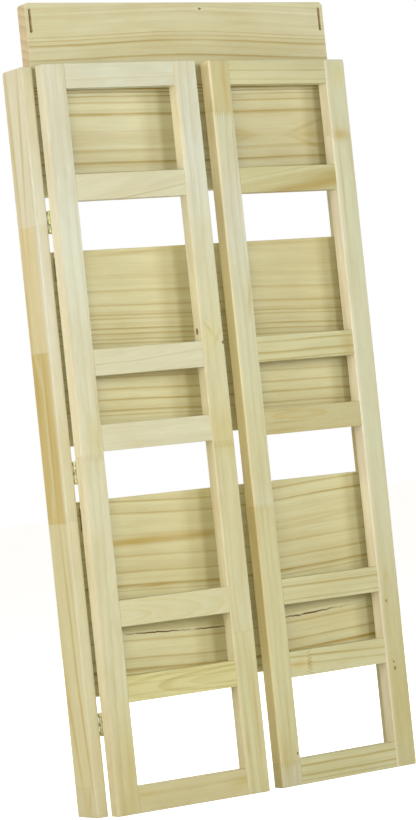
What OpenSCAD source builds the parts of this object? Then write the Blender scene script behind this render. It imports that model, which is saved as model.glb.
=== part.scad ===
// Folding bookcase in solid pine, drawn folded flat and standing on the floor.
// Two posts and three back rails make the back frame. Two slatted side frames are hinged to
// the posts and lie side by side in front of three shelves, which stand on edge on end pins.
// To use it, the side frames swing out square and each shelf drops forward onto their brackets.
// Millimetres. Z is up, the front faces -Y, and the origin is under the middle at the floor.

/* [Back frame] */
// Height of the posts and of the side frames
frame_h = 965; // [900:1:1300]
// Thickness of a post, side to side
post_t = 16; // [14:0.5:30]
// Depth of a post, front to back
post_d = 48; // [46:0.5:80]
// Rounding of a post's top rear corner
post_round = 5; // [1:0.5:12]
// Height of a back rail
back_rail_h = 45; // [30:1:80]
// Thickness of a back rail
back_rail_t = 19; // [14:0.5:24]
// Air between a folded shelf and the back rail behind it
shelf_back_gap = 0.5; // [0.3:0.1:2]

/* [Side frames] */
// Width of one side frame, which sets the depth of the open bookcase
frame_w = 229; // [200:1:280]
// Thickness of a side frame
frame_t = 18; // [15:0.5:25]
// Width of a stile's face
stile_w = 33; // [28:0.5:50]
// Height of a rail
rail_h = 34; // [28:0.5:45]
// Height of the top rail
top_rail_h = 32; // [28:0.5:45]
// Gap between the two side frames when they lie flat
mid_gap = 22; // [2:0.5:60]
// How far a shelf rail's lower edge lies below the shelf
support_drop = 10.5; // [8:0.5:14]
// Height of a middle rail's lower edge above the shelf's lower edge
mid_rail_up = 86.5; // [60:0.5:150]
// How far the left side frame stands open, in degrees
left_ajar = 3.2; // [0:0.1:20]
// How far the right side frame stands open, in degrees
right_ajar = 2; // [0:0.1:20]

/* [Shelves] */
// Thickness of a shelf
shelf_t = 19; // [17:0.5:24]
// Height of the lowest shelf's lower edge when folded
shelf_low = 152.5; // [130:0.5:200]
// Height from one shelf to the next
shelf_pitch = 323; // [310:0.5:340]
// Gap between a shelf's end and the post beside it
end_gap = 4; // [2.5:0.1:6]
// How far an open shelf's front edge stays behind the front of the side frames
shelf_front_in = 5.5; // [0:0.5:20]
// Rounding of a shelf's two front corners
shelf_round = 6; // [2:0.5:20]
// Distance from a shelf's pivot to its lower edge when folded
pivot_edge = 10; // [8:0.5:14]
// Distance from a shelf's pivot to its front face when folded
pivot_front = 8; // [7:0.5:9]

/* [Shelf slots and brackets] */
// Length of a slot
slot_len = 31; // [24:0.5:40]
// Width of a slot
slot_w = 3.6; // [3:0.1:4.5]
// Depth of a slot
slot_deep = 9; // [8:0.5:10]
// Diameter of the wider plunge at a slot's inner end
plunge_d = 4.4; // [4:0.1:6]
// Distance from a shelf's free edge to the start of a slot
slot_edge = 7.5; // [5:0.5:20]
// Distance from a shelf's end to the middle of a slot
slot_in = 7; // [5:0.1:10]
// Thickness of the bracket strip
bracket_t = 1.5; // [1.2:0.1:2]
// Height of a bracket's lip above its shelf seat
lip_h = 7; // [4:0.5:7.5]
// Play between a lip and the ends of its slot
lip_play = 0.7; // [0.3:0.1:2]
// Height of a bracket's plate above its screws
plate_up = 7; // [5:0.5:9]
// Air between the brackets and the folded shelves
bracket_clear = 1.6; // [1:0.1:5]

/* [Hinges] */
// Outer diameter of the hinge barrel
barrel_d = 5.5; // [4.5:0.1:7]
// Length of a hinge
hinge_len = 29; // [26:0.5:40]
// Width of a hinge leaf, from the pin's centre
leaf_w = 14; // [12:0.5:20]
// Thickness of a hinge leaf
leaf_t = 1.2; // [1:0.1:1.5]
// Diameter of the hinge pin
hinge_pin_d = 2.6; // [2:0.1:3]
// Diameter of the hinge pin's flat ends
hinge_pin_end_d = 3.8; // [3.4:0.1:4.4]
// Distance from a hinge's middle up to the shelf above it
hinge_drop = 34.5; // [30:0.5:60]
// How far a side frame's edge reaches past the hinge pin
edge_reach = 0.8; // [0.4:0.1:2]
// Gap between a side frame's edge and the post when open
open_gap = 0.5; // [0.3:0.1:2]
// Distance from a hinge's end to its screw
hinge_screw_in = 6.5; // [5:0.5:9]

/* [Pins, dowels and screws] */
// Diameter of a shelf's pivot pin
pivot_d = 6; // [4:0.5:8]
// Length of a pivot pin inside the post
pivot_in_post = 11; // [8:0.5:12]
// Length of a pivot pin inside the shelf
pivot_in_shelf = 22; // [12:0.5:40]
// Diameter of a pivot pin's collar
collar_d = 12; // [9:0.5:14]
// Diameter of a wooden dowel
dowel_d = 8; // [6:0.5:9]
// Length of a dowel in the side frames
dowel_l = 38; // [26:1:44]
// Distance between the two dowels of one joint
dowel_spread = 16; // [14:0.5:18]
// Length of a back rail's dowel inside the post
dowel_in_post = 11; // [8:0.5:12]
// Length of a back rail's dowel inside the rail
dowel_in_rail = 22; // [14:0.5:40]
// Diameter of a wood screw
screw_d = 2.8; // [2.2:0.1:3.2]
// Diameter of a screw's countersunk head
screw_head_d = 5; // [4.4:0.1:5.6]
// Length of a screw
screw_l = 12; // [9:0.5:13]
// Distance between the two screws of a bracket
bracket_screws = 16; // [12:0.5:18]

/* [Clearances] */
// Radial clearance of a pin in a bore that turns on it
run_fit = 0.05; // [0.02:0.01:0.1]
// Radial clearance of a dowel, screw or fixed pin in its hole
seat_fit = 0.03; // [0.02:0.01:0.1]
// Air between neighbouring pieces that move past each other
air = 0.3; // [0.3:0.05:0.5]
// Spare depth at the bottom of a blind hole
hole_spare = 1; // [0.5:0.1:2]
// Air round the path of a shelf's rear corner
sweep_air = 1; // [0.5:0.1:3]

/* [Hidden] */
$fn = 48;
knuckles = 5;
barrel_r = barrel_d / 2;
// The hinge pin's distance from the inner faces of post and side frame
pin_off = barrel_r + air;
edge_gap = pin_off - edge_reach;
inner_w = 2 * (edge_gap + frame_w) + mid_gap;
overall_w = inner_w + 2 * post_t;
// The hinge pin's place, with y counted from the front of the posts
hinge_x = inner_w / 2 - pin_off;
hinge_y = -(edge_reach + open_gap);
// The far edge of a side frame, counted from the pin
frame_far = frame_w - edge_reach;
// A bracket reaches from the side frame to the slot's far side
bracket_reach = end_gap + slot_in + bracket_t / 2;
frame_back_y = hinge_y - pin_off;
shelf_y = frame_back_y + bracket_reach + bracket_clear;
pivot_y = shelf_y + pivot_front;
shelf_rear_y = shelf_y + shelf_t;
// The open shelf's free edge, and from it the shelf's depth
shelf_free_y = hinge_y - frame_far + shelf_front_in;
shelf_d = pivot_y - shelf_free_y + pivot_edge;
shelf_l = inner_w - 2 * end_gap;
// A bracket's middle, counted from the pin along the side frame
bracket_x = hinge_y - (shelf_free_y + slot_edge + slot_len / 2);
lip_len = slot_len - slot_w - 2 * lip_play;
swing_r = norm([shelf_t - pivot_front, pivot_edge]);
// The front of the posts, placed so that the whole part is centred front to back
far_ajar = max(left_ajar, right_ajar);
front_y = hinge_y - frame_far * sin(far_ajar) - (pin_off + frame_t) * cos(far_ajar);
home_y = -(post_d + front_y) / 2;
head_h = (screw_head_d - screw_d) / 2;
knuckle_h = hinge_len / knuckles;
hinge_screw_x = (pin_off + leaf_w) / 2;
eps = 0.01;

pine = [0.87, 0.84, 0.70];
shelf_pine = [0.80, 0.75, 0.56];
back_pine = [0.82, 0.78, 0.62];
beech = [0.80, 0.66, 0.48];
brass = [0.80, 0.66, 0.36];
steel = [0.74, 0.75, 0.77];

// Heights. Shelves count 0 to 2 from the floor, and rails 0 to 6.
levels = [0, 1, 2];
rails = [0, 1, 2, 3, 4, 5, 6];
function shelf_z(level) = shelf_low + level * shelf_pitch;
function pivot_z(level) = shelf_z(level) + pivot_edge;
function back_rail_z(level) = pivot_z(level) + swing_r + sweep_air;
function hinge_z(level) = shelf_z(level) - hinge_drop - hinge_len / 2;
// The underside of an open shelf, where it lands on its brackets
function seat_z(level) = pivot_z(level) - (shelf_t - pivot_front);
function rail_height(i) = i == 6 ? top_rail_h : rail_h;
function rail_z(i) =
    i == 0 ? 0 :
    i == 6 ? frame_h - top_rail_h :
    i % 2 == 1 ? shelf_z((i - 1) / 2) - support_drop :
    shelf_z((i - 2) / 2) + mid_rail_up;
function rail_mid(i) = rail_z(i) + rail_height(i) / 2;
function bracket_screw_z(level) = rail_mid(2 * level + 1);

// Places: the back frame, the same mirrored to the right, and a side frame on its hinge pin.
module at_home() {
    translate([0, home_y, 0]) children();
}

module on_side(side) {
    at_home() mirror([side > 0 ? 1 : 0, 0, 0]) children();
}

module on_pin(side) {
    ajar = side < 0 ? left_ajar : right_ajar;
    on_side(side) translate([-hinge_x, hinge_y, 0]) rotate([0, 0, -ajar]) children();
}

// A countersunk wood screw, its head's face at the origin and its point towards -Z
module screw() {
    tip = screw_d;
    difference() {
        union() {
            translate([0, 0, -head_h]) cylinder(h = head_h, d1 = screw_d, d2 = screw_head_d);
            translate([0, 0, tip - screw_l]) cylinder(h = screw_l - tip - head_h + eps, d = screw_d);
            translate([0, 0, -screw_l]) cylinder(h = tip, d1 = 0.5, d2 = screw_d);
        }
        for (turn = [0, 90]) {
            rotate([0, 0, turn]) translate([-1.5, -0.3, -0.7]) cube([3, 0.6, 1]);
        }
    }
}

// The countersunk hole for it in a metal strip
module screw_hole(strip_t) {
    translate([0, 0, -head_h]) {
        cylinder(h = head_h + eps, d1 = screw_d + 2 * seat_fit, d2 = screw_head_d + 2 * seat_fit);
    }
    translate([0, 0, -strip_t - 1]) cylinder(h = strip_t + 1, d = screw_d + 2 * seat_fit);
}

// The hole for it in the wood behind a strip
module pilot_hole(strip_t) {
    deep = screw_l - strip_t + hole_spare;
    translate([0, 0, -deep]) cylinder(h = deep + 1, d = screw_d + 2 * seat_fit);
}

module dowel(length) {
    chamfer = 1;
    for (end = [0, 1]) {
        translate([0, 0, end * length]) mirror([0, 0, end]) {
            cylinder(h = chamfer, d1 = dowel_d - 2 * chamfer, d2 = dowel_d);
        }
    }
    translate([0, 0, chamfer]) cylinder(h = length - 2 * chamfer, d = dowel_d);
}

// The places of the repeated fixings, as seen on the left-hand side
module each_hinge_screw() {
    for (level = levels, z = [hinge_screw_in, hinge_len - hinge_screw_in]) {
        translate([0, 0, hinge_z(level) + z]) children();
    }
}

module each_bracket_screw(level) {
    for (step = [-0.5, 0.5]) {
        translate([bracket_x + step * bracket_screws, -pin_off, bracket_screw_z(level)]) {
            rotate([-90, 0, 0]) children();
        }
    }
}

module each_back_dowel(level) {
    y = shelf_rear_y + shelf_back_gap + back_rail_t / 2;
    for (step = [-0.5, 0.5]) {
        translate([-inner_w / 2, y, back_rail_z(level) + back_rail_h / 2 + step * dowel_spread]) {
            rotate([0, 90, 0]) children();
        }
    }
}

module each_frame_dowel(i, x) {
    for (step = [-0.5, 0.5]) {
        translate([x, -pin_off - frame_t / 2, rail_mid(i) + step * dowel_spread]) {
            rotate([0, 90, 0]) children();
        }
    }
}

// One post, with its holes on the inner face
module post() {
    color(pine) difference() {
        translate([-overall_w / 2, 0, 0]) rotate([90, 0, 90]) linear_extrude(post_t) {
            difference() {
                square([post_d, frame_h]);
                translate([post_d - post_round, frame_h - post_round]) difference() {
                    square(post_round + 1);
                    circle(post_round);
                }
            }
        }
        for (level = levels) {
            translate([-inner_w / 2 - pivot_in_post - hole_spare, pivot_y, pivot_z(level)]) {
                rotate([0, 90, 0]) cylinder(h = post_t, d = pivot_d + 2 * seat_fit);
            }
            each_back_dowel(level) translate([0, 0, -dowel_in_post - hole_spare]) {
                cylinder(h = post_t, d = dowel_d + 2 * seat_fit);
            }
        }
        each_hinge_screw() translate([-inner_w / 2, hinge_y + hinge_screw_x, 0]) {
            rotate([0, 90, 0]) pilot_hole(leaf_t);
        }
    }
}

module back_rail(level) {
    y = shelf_rear_y + shelf_back_gap;
    color(back_pine) difference() {
        translate([-inner_w / 2, y, back_rail_z(level)]) cube([inner_w, back_rail_t, back_rail_h]);
        for (side = [0, 1]) {
            mirror([side, 0, 0]) each_back_dowel(level) translate([0, 0, -1]) {
                cylinder(h = dowel_in_rail + hole_spare + 1, d = dowel_d + 2 * seat_fit);
            }
        }
    }
}

module back_rail_dowels() {
    color(beech) for (level = levels, side = [0, 1]) {
        mirror([side, 0, 0]) each_back_dowel(level) translate([0, 0, -dowel_in_post]) {
            dowel(dowel_in_post + dowel_in_rail);
        }
    }
}

// One shelf, standing on edge. Its slots face the front, and the underside once it is open.
module shelf(level) {
    top = shelf_z(level) + shelf_d;
    slot_top = top - slot_edge - slot_w / 2;
    slot_low = top - slot_edge - slot_len + slot_w / 2;
    color(shelf_pine) difference() {
        translate([0, shelf_rear_y, shelf_z(level)]) rotate([90, 0, 0]) linear_extrude(shelf_t) {
            shelf_outline();
        }
        for (side = [0, 1]) mirror([side, 0, 0]) {
            x = slot_in - shelf_l / 2;
            for (z = [slot_low, slot_top]) translate([x, shelf_y - 1, z]) {
                rotate([-90, 0, 0]) cylinder(h = slot_deep + 1, d = slot_w);
            }
            translate([x - slot_w / 2, shelf_y - 1, slot_low]) {
                cube([slot_w, slot_deep + 1, slot_top - slot_low]);
            }
            translate([x, shelf_y - 1, slot_low]) rotate([-90, 0, 0]) {
                cylinder(h = slot_deep + 2, d = plunge_d);
            }
            translate([-shelf_l / 2 - 1, pivot_y, pivot_z(level)]) rotate([0, 90, 0]) {
                cylinder(h = 1 + pivot_in_shelf - end_gap + hole_spare, d = pivot_d + 2 * run_fit);
            }
        }
    }
}

// A shelf's face, square at the lower edge and rounded at the two free corners
module shelf_outline() {
    difference() {
        translate([-shelf_l / 2, 0]) square([shelf_l, shelf_d]);
        for (side = [0, 1]) mirror([side, 0, 0]) {
            translate([shelf_l / 2 - shelf_round, shelf_d - shelf_round]) difference() {
                square(shelf_round + 1);
                circle(shelf_round);
            }
        }
    }
}

// A shelf's two pivot pins. The collar keeps the shelf clear of the post.
module pivot_pins(level) {
    color(steel) for (side = [0, 1]) mirror([side, 0, 0]) {
        translate([-inner_w / 2, pivot_y, pivot_z(level)]) rotate([0, 90, 0]) {
            translate([0, 0, -pivot_in_post]) {
                cylinder(h = pivot_in_post + pivot_in_shelf, d = pivot_d);
            }
            cylinder(h = end_gap - air, d = collar_d);
        }
    }
}

// One hinge leaf round a pin at the origin, lying on the face y = -pin_off.
// A post's leaf takes the even knuckles and a side frame's leaf the odd ones.
module leaf(first) {
    color(brass) difference() {
        union() {
            translate([pin_off, -pin_off, 0]) cube([leaf_w - pin_off, leaf_t, hinge_len]);
            for (k = [first : 2 : knuckles - 1]) {
                translate([0, 0, k * knuckle_h + air / 2]) {
                    cylinder(h = knuckle_h - air, r = barrel_r);
                    translate([0, -pin_off, 0]) cube([pin_off + eps, leaf_t, knuckle_h - air]);
                }
            }
        }
        translate([0, 0, -1]) cylinder(h = hinge_len + 2, d = hinge_pin_d + 2 * run_fit);
        for (z = [hinge_screw_in, hinge_len - hinge_screw_in]) {
            translate([hinge_screw_x, leaf_t - pin_off, z]) rotate([-90, 0, 0]) screw_hole(leaf_t);
        }
    }
}

// The leaf on a post lies on the post's inner face, so its two directions change places
module post_leaf(level) {
    translate([-hinge_x, hinge_y, hinge_z(level)]) mirror([1, -1, 0]) leaf(0);
}

module frame_leaf(level) {
    translate([0, 0, hinge_z(level)]) leaf(1);
}

module hinge_pins() {
    end_t = 0.7;
    color(brass) for (level = levels) translate([-hinge_x, hinge_y, hinge_z(level)]) {
        cylinder(h = hinge_len, d = hinge_pin_d);
        translate([0, 0, air / 2 - end_t]) cylinder(h = end_t, d = hinge_pin_end_d);
        translate([0, 0, hinge_len - air / 2]) cylinder(h = end_t, d = hinge_pin_end_d);
    }
}

module post_screws() {
    color(brass) each_hinge_screw() {
        translate([leaf_t - inner_w / 2, hinge_y + hinge_screw_x, 0]) rotate([0, 90, 0]) screw();
    }
}

module frame_screws() {
    color(brass) each_hinge_screw() {
        translate([hinge_screw_x, leaf_t - pin_off, 0]) rotate([-90, 0, 0]) screw();
    }
}

// The stile that carries the hinges, bored for their screws and the rails' dowels
module hinge_stile() {
    color(pine) difference() {
        translate([-edge_reach, -pin_off - frame_t, 0]) cube([stile_w, frame_t, frame_h]);
        for (i = rails) stile_dowel_holes(i, stile_w - edge_reach, 0);
        each_hinge_screw() translate([hinge_screw_x, -pin_off, 0]) rotate([-90, 0, 0]) {
            pilot_hole(leaf_t);
        }
    }
}

// The free stile, bored for the dowels and for one screw of each bracket
module free_stile() {
    color(pine) difference() {
        translate([frame_far - stile_w, -pin_off - frame_t, 0]) cube([stile_w, frame_t, frame_h]);
        for (i = rails) stile_dowel_holes(i, frame_far - stile_w, 1);
        for (level = levels) each_bracket_screw(level) pilot_hole(bracket_t);
    }
}

// Holes from the joint face at x, to the left of it or, with right = 1, to the right
module stile_dowel_holes(i, x, right) {
    deep = dowel_l / 2 + hole_spare;
    each_frame_dowel(i, x) translate([0, 0, right == 1 ? -1 : -deep]) {
        cylinder(h = deep + 1, d = dowel_d + 2 * seat_fit);
    }
}

module rail(i) {
    near = stile_w - edge_reach;
    far = frame_far - stile_w;
    deep = dowel_l / 2 + hole_spare;
    color(pine) difference() {
        translate([near, -pin_off - frame_t, rail_z(i)]) {
            cube([far - near, frame_t, rail_height(i)]);
        }
        each_frame_dowel(i, near) translate([0, 0, -1]) {
            cylinder(h = deep + 1, d = dowel_d + 2 * seat_fit);
        }
        each_frame_dowel(i, far) translate([0, 0, -deep]) {
            cylinder(h = deep + 1, d = dowel_d + 2 * seat_fit);
        }
        if (i % 2 == 1) each_bracket_screw((i - 1) / 2) pilot_hole(bracket_t);
    }
}

module frame_dowels() {
    color(beech) for (i = rails, x = [stile_w - edge_reach, frame_far - stile_w]) {
        each_frame_dowel(i, x) translate([0, 0, -dowel_l / 2]) dowel(dowel_l);
    }
}

// The hook that an open shelf lands on: a screwed plate, a seat and a lip for the shelf's slot
module bracket(level) {
    plate_top = bracket_screw_z(level) + plate_up;
    low = seat_z(level) - bracket_t;
    color(steel) translate([0, -pin_off, 0]) difference() {
        translate([bracket_x - lip_len / 2, 0, 0]) {
            translate([0, 0, low]) cube([lip_len, bracket_t, plate_top - low]);
            translate([0, 0, low]) cube([lip_len, bracket_reach, bracket_t]);
            translate([0, bracket_reach - bracket_t, low]) {
                cube([lip_len, bracket_t, bracket_t + lip_h]);
            }
        }
        translate([0, pin_off + bracket_t, 0]) each_bracket_screw(level) screw_hole(bracket_t);
    }
}

module bracket_fixings() {
    color(steel) for (level = levels) {
        translate([0, bracket_t, 0]) each_bracket_screw(level) screw();
    }
}

on_side(-1) post();  // left_post
on_side(1) post();  // right_post
at_home() back_rail(0);  // lower_back_rail
at_home() back_rail(1);  // middle_back_rail
at_home() back_rail(2);  // upper_back_rail
at_home() back_rail_dowels();
at_home() shelf(0);  // lower_shelf
at_home() shelf(1);  // middle_shelf
at_home() shelf(2);  // upper_shelf
at_home() pivot_pins(0);  // lower_pivot_pins
at_home() pivot_pins(1);  // middle_pivot_pins
at_home() pivot_pins(2);  // upper_pivot_pins
on_side(-1) post_leaf(0);  // left_lower_post_leaf
on_side(-1) post_leaf(1);  // left_middle_post_leaf
on_side(-1) post_leaf(2);  // left_upper_post_leaf
on_side(1) post_leaf(0);  // right_lower_post_leaf
on_side(1) post_leaf(1);  // right_middle_post_leaf
on_side(1) post_leaf(2);  // right_upper_post_leaf
on_side(-1) hinge_pins();  // left_hinge_pins
on_side(1) hinge_pins();  // right_hinge_pins
on_side(-1) post_screws();  // left_post_screws
on_side(1) post_screws();  // right_post_screws
on_pin(-1) hinge_stile();  // left_hinge_stile
on_pin(-1) free_stile();  // left_free_stile
on_pin(-1) rail(0);  // left_bottom_rail
on_pin(-1) rail(1);  // left_lower_shelf_rail
on_pin(-1) rail(2);  // left_lower_middle_rail
on_pin(-1) rail(3);  // left_middle_shelf_rail
on_pin(-1) rail(4);  // left_upper_middle_rail
on_pin(-1) rail(5);  // left_upper_shelf_rail
on_pin(-1) rail(6);  // left_top_rail
on_pin(-1) frame_dowels();  // left_frame_dowels
on_pin(-1) bracket(0);  // left_lower_bracket
on_pin(-1) bracket(1);  // left_middle_bracket
on_pin(-1) bracket(2);  // left_upper_bracket
on_pin(-1) bracket_fixings();  // left_bracket_screws
on_pin(-1) frame_leaf(0);  // left_lower_frame_leaf
on_pin(-1) frame_leaf(1);  // left_middle_frame_leaf
on_pin(-1) frame_leaf(2);  // left_upper_frame_leaf
on_pin(-1) frame_screws();  // left_frame_screws
on_pin(1) hinge_stile();  // right_hinge_stile
on_pin(1) free_stile();  // right_free_stile
on_pin(1) rail(0);  // right_bottom_rail
on_pin(1) rail(1);  // right_lower_shelf_rail
on_pin(1) rail(2);  // right_lower_middle_rail
on_pin(1) rail(3);  // right_middle_shelf_rail
on_pin(1) rail(4);  // right_upper_middle_rail
on_pin(1) rail(5);  // right_upper_shelf_rail
on_pin(1) rail(6);  // right_top_rail
on_pin(1) frame_dowels();  // right_frame_dowels
on_pin(1) bracket(0);  // right_lower_bracket
on_pin(1) bracket(1);  // right_middle_bracket
on_pin(1) bracket(2);  // right_upper_bracket
on_pin(1) bracket_fixings();  // right_bracket_screws
on_pin(1) frame_leaf(0);  // right_lower_frame_leaf
on_pin(1) frame_leaf(1);  // right_middle_frame_leaf
on_pin(1) frame_leaf(2);  // right_upper_frame_leaf
on_pin(1) frame_screws();  // right_frame_screws
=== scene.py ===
"""Folding bookcase in bare pine, folded flat: finishes of its boards and fittings, light and camera."""
import math

import bpy
from mathutils import Matrix, Vector


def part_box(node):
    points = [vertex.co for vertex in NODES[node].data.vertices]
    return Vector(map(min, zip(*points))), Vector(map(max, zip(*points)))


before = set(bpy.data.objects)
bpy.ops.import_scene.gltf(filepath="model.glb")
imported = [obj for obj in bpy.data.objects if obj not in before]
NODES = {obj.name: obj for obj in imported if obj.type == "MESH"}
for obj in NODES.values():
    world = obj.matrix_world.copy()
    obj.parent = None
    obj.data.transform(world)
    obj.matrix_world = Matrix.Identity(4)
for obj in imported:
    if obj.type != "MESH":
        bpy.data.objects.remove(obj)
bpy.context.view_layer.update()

# Camera. It stands low, to the left of the bookcase, and is rolled a little.
CAMERA_PLACE = Vector((-2.29155, -3.34786, 0.44694))
CAMERA_TURN, CAMERA_LIFT, CAMERA_ROLL = (math.radians(a) for a in (34.1522, 0.8342, 5.8985))
CAMERA_LENS, SENSOR_WIDTH = 134.26, 36
NEAREST, FARTHEST = 0.05, 60


def aim(turn, lift, roll):
    """The turn of a camera that looks along +Y, swung towards +X, lifted and rolled."""
    ahead = Vector((math.sin(turn) * math.cos(lift), math.cos(turn) * math.cos(lift), math.sin(lift)))
    level = Vector((math.cos(turn), -math.sin(turn), 0))
    upright = level.cross(ahead)
    right = level * math.cos(roll) - upright * math.sin(roll)
    up = level * math.sin(roll) + upright * math.cos(roll)
    return Matrix((right, up, -ahead)).transposed()


def make_camera():
    data = bpy.data.cameras.new("camera")
    data.lens, data.sensor_width = CAMERA_LENS, SENSOR_WIDTH
    data.clip_start, data.clip_end = NEAREST, FARTHEST
    camera = bpy.data.objects.new("camera", data)
    bpy.context.scene.collection.objects.link(camera)
    turned = aim(CAMERA_TURN, CAMERA_LIFT, CAMERA_ROLL)
    camera.matrix_world = Matrix.Translation(CAMERA_PLACE) @ turned.to_4x4()
    bpy.context.scene.camera = camera


make_camera()


# Small helpers for node materials
def colour(red, green, blue):
    """A colour given as it looks on screen, from 0 to 255."""
    def linear(value):
        value /= 255
        return value / 12.92 if value <= 0.04045 else ((value + 0.055) / 1.055) ** 2.4
    return (linear(red), linear(green), linear(blue), 1)


class Nodes:
    """Adds nodes to one tree. Values may be numbers, tuples or another node's output."""

    def __init__(self, tree):
        self.tree = tree

    def feed(self, socket, value):
        if isinstance(value, bpy.types.NodeSocket):
            self.tree.links.new(value, socket)
        else:
            socket.default_value = value

    def add(self, kind, inputs=(), **settings):
        made = self.tree.nodes.new(kind)
        for name, value in settings.items():
            setattr(made, name, value)
        for key, value in dict(inputs).items():
            self.feed(made.inputs[key], value)
        return made

    def math(self, operation, *values, clamp=False):
        made = self.add("ShaderNodeMath", enumerate(values), operation=operation, use_clamp=clamp)
        return made.outputs[0]

    def total(self, *values):
        result = values[0]
        for value in values[1:]:
            result = self.math("ADD", result, value)
        return result

    def weigh(self, base, *pairs):
        """The base plus each value times its weight."""
        for value, weight in pairs:
            base = self.math("MULTIPLY_ADD", value, weight, base)
        return base

    def ease(self, value, start, end, low=0.0, high=1.0, way="SMOOTHSTEP"):
        """Runs from low to high as the value goes from start to end, smoothly or in another way."""
        inputs = {"Value": value, "From Min": start, "From Max": end, "To Min": low, "To Max": high}
        made = self.add("ShaderNodeMapRange", inputs, interpolation_type=way)
        return made.outputs["Result"]

    def vector(self, x, y, z):
        return self.add("ShaderNodeCombineXYZ", {"X": x, "Y": y, "Z": z}).outputs[0]

    def noise(self, place, scale=1.0, detail=2.0, rough=0.5):
        """A noise centred on 0, from about -0.5 to 0.5."""
        inputs = {"Vector": place, "Scale": scale, "Detail": detail, "Roughness": rough}
        made = self.add("ShaderNodeTexNoise", inputs, noise_dimensions="3D")
        return self.math("SUBTRACT", made.outputs["Fac"], 0.5)

    def blend(self, share, first, second, mode="MIX"):
        made = self.add("ShaderNodeMix", data_type="RGBA", blend_type=mode)
        colours = [s for s in made.inputs if s.type == "RGBA"]
        self.feed(made.inputs["Factor"], share)
        self.feed(colours[0], first)
        self.feed(colours[1], second)
        return next(s for s in made.outputs if s.type == "RGBA")

    def ramp(self, value, stops):
        """Runs in straight steps through the stops, each a place from 0 to 1 and a level of grey."""
        made = self.add("ShaderNodeValToRGB", {"Fac": value})
        made.color_ramp.interpolation = "LINEAR"
        elements = made.color_ramp.elements
        while len(elements) < len(stops):
            elements.new(1.0)
        for element, (place, level) in zip(elements, stops):
            element.position = place
            element.color = (level, level, level, 1)
        return made.outputs["Color"]


def new_material(name):
    """An empty node material and the means to fill it."""
    material = bpy.data.materials.new(name)
    material.use_nodes = True
    material.node_tree.nodes.clear()
    return material, Nodes(material.node_tree)


# Pine. Places are in millimetres: along the grain, across the board's face, and through its depth.
MM = 0.001
DEEP, CRACK, KNOT = colour(166, 138, 50), colour(96, 68, 36), colour(112, 74, 28)
END_PALE, END_DARK = colour(216, 200, 164), colour(168, 142, 102)
# The marks in the wood: how long and how wide one is in millimetres, and a shift that keeps them apart
FIBRES, COARSE_FIBRES, STREAKS = (34, 0.8, 0.0), (70, 2.4, 17.9), (210, 4.2, 5.7)
BROAD_BANDS, BLOTCHES, DUCTS = (330, 19, 11.3), (120, 40, 31.0), (12, 0.6, 23.0)
FADING_RINGS, SAW_MARKS = (260, 34, 3.1), (400, 0.7, 41.0)
# How much each mark darkens, lights, roughens or raises the wood
STREAK_TINT, BROAD_TINT, DUCT_TINT, BLOTCH_TINT = 0.3, 0.3, 0.22, 0.15
FIBRE_LIGHT, COARSE_LIGHT, STREAK_LIGHT = 0.17, 0.13, 0.06
PINE_ROUGH, FIBRE_ROUGH, RING_ROUGH, END_ROUGH = 0.62, 0.12, -0.08, 0.2
FIBRE_HEIGHT, LATE_HEIGHT, STREAK_HEIGHT, DUCT_HEIGHT = 0.5, 0.35, 0.3, -0.5
# How unevenly the rings lie, and where across a ring its dark wood starts, is full and ends
RINGS_TO_A_WAVE, UNEVEN = 2.3, 1.6
DARK_STARTS, DARK_FULL, DARK_ENDS = 0.2, 0.88, 0.9
# How strong a ring is at least, and what chance and fading add
RING_LEAST, RING_CHANCE, RING_FADING = 0.3, 0.75, 1.1
# From which level to which a noise becomes a blotch or a duct
BLOTCH_RANGE, DUCT_RANGE = (-0.12, 0.2), (0.23, 0.34)
# A sawn end: how much darker its rings are, and how bright and how uneven it is
END_RINGS, END_LEVEL, END_UNEVEN = 0.3, 0.94, 0.35
# How far one seed's marks lie from the next one's, and what share of that they shift in depth
SEED_SHIFT, DEPTH_SHARE = 7.31, 0.63


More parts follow.
